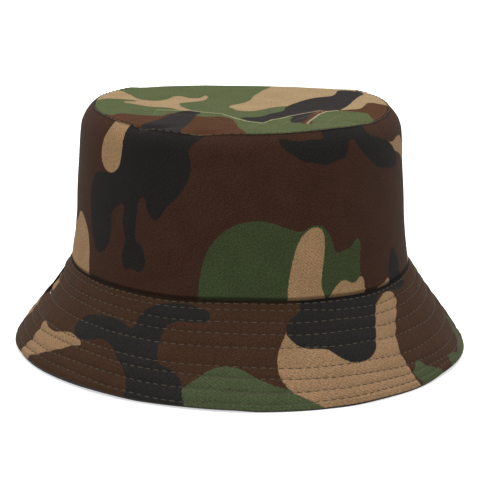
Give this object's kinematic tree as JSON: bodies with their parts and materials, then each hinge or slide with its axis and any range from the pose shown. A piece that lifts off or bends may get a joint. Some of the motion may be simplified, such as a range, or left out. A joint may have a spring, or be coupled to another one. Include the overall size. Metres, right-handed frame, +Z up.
{
  "type": "bucket hat",
  "caption": "Soft bucket hat with a flat oval tip, an upright crown and a sloping quilted brim, in camouflage twill with a plain dark lining.",
  "frame": {"origin": "middle of the oval that the edge of the brim stands on, at the surface that the hat stands on", "axes": "+Z up through the tip of the crown, -Y to the front of the hat, +X to the right as seen from the front"},
  "size_m": [0.2426, 0.2642, 0.1303],
  "materials": {
    "camouflage_twill": "printed cotton twill in dark brown, green, tan and black",
    "interlining_felt": "stiff pressed felt, hidden inside the brim",
    "lining_poplin": "plain dark cotton, matt",
    "hidden_thread": "sewing thread inside the seams of the shell",
    "lining_thread": "sewing thread inside the seams of the lining",
    "topstitch_thread": "olive drab sewing thread, visible stitches"
  },
  "bodies": {
    "root": {"crown_tip": "camouflage_twill", "crown_side_front": "camouflage_twill", "crown_side_back": "camouflage_twill", "brim_top_front": "camouflage_twill", "brim_top_back": "camouflage_twill", "brim_interlining_front": "interlining_felt", "brim_interlining_back": "interlining_felt", "lining_tip": "lining_poplin", "lining_side_front": "lining_poplin", "lining_side_back": "lining_poplin", "brim_under_front": "lining_poplin", "brim_under_back": "lining_poplin", "tip_seam_thread": "hidden_thread", "head_seam_thread": "hidden_thread", "side_seam_thread": "hidden_thread", "brim_edge_seam_thread": "hidden_thread", "lining_tip_seam_thread": "lining_thread", "lining_head_seam_thread": "lining_thread", "lining_side_seam_thread": "lining_thread", "tip_topstitch": "topstitch_thread", "brim_stitch_row_1": "topstitch_thread", "brim_stitch_row_2": "topstitch_thread", "brim_stitch_row_3": "topstitch_thread", "brim_stitch_row_4": "topstitch_thread", "brim_stitch_row_5": "topstitch_thread", "brim_stitch_row_6": "topstitch_thread", "brim_stitch_row_7": "topstitch_thread", "brim_stitch_row_8": "topstitch_thread", "brim_stitch_row_9": "topstitch_thread"}
  },
  "joints": []
}
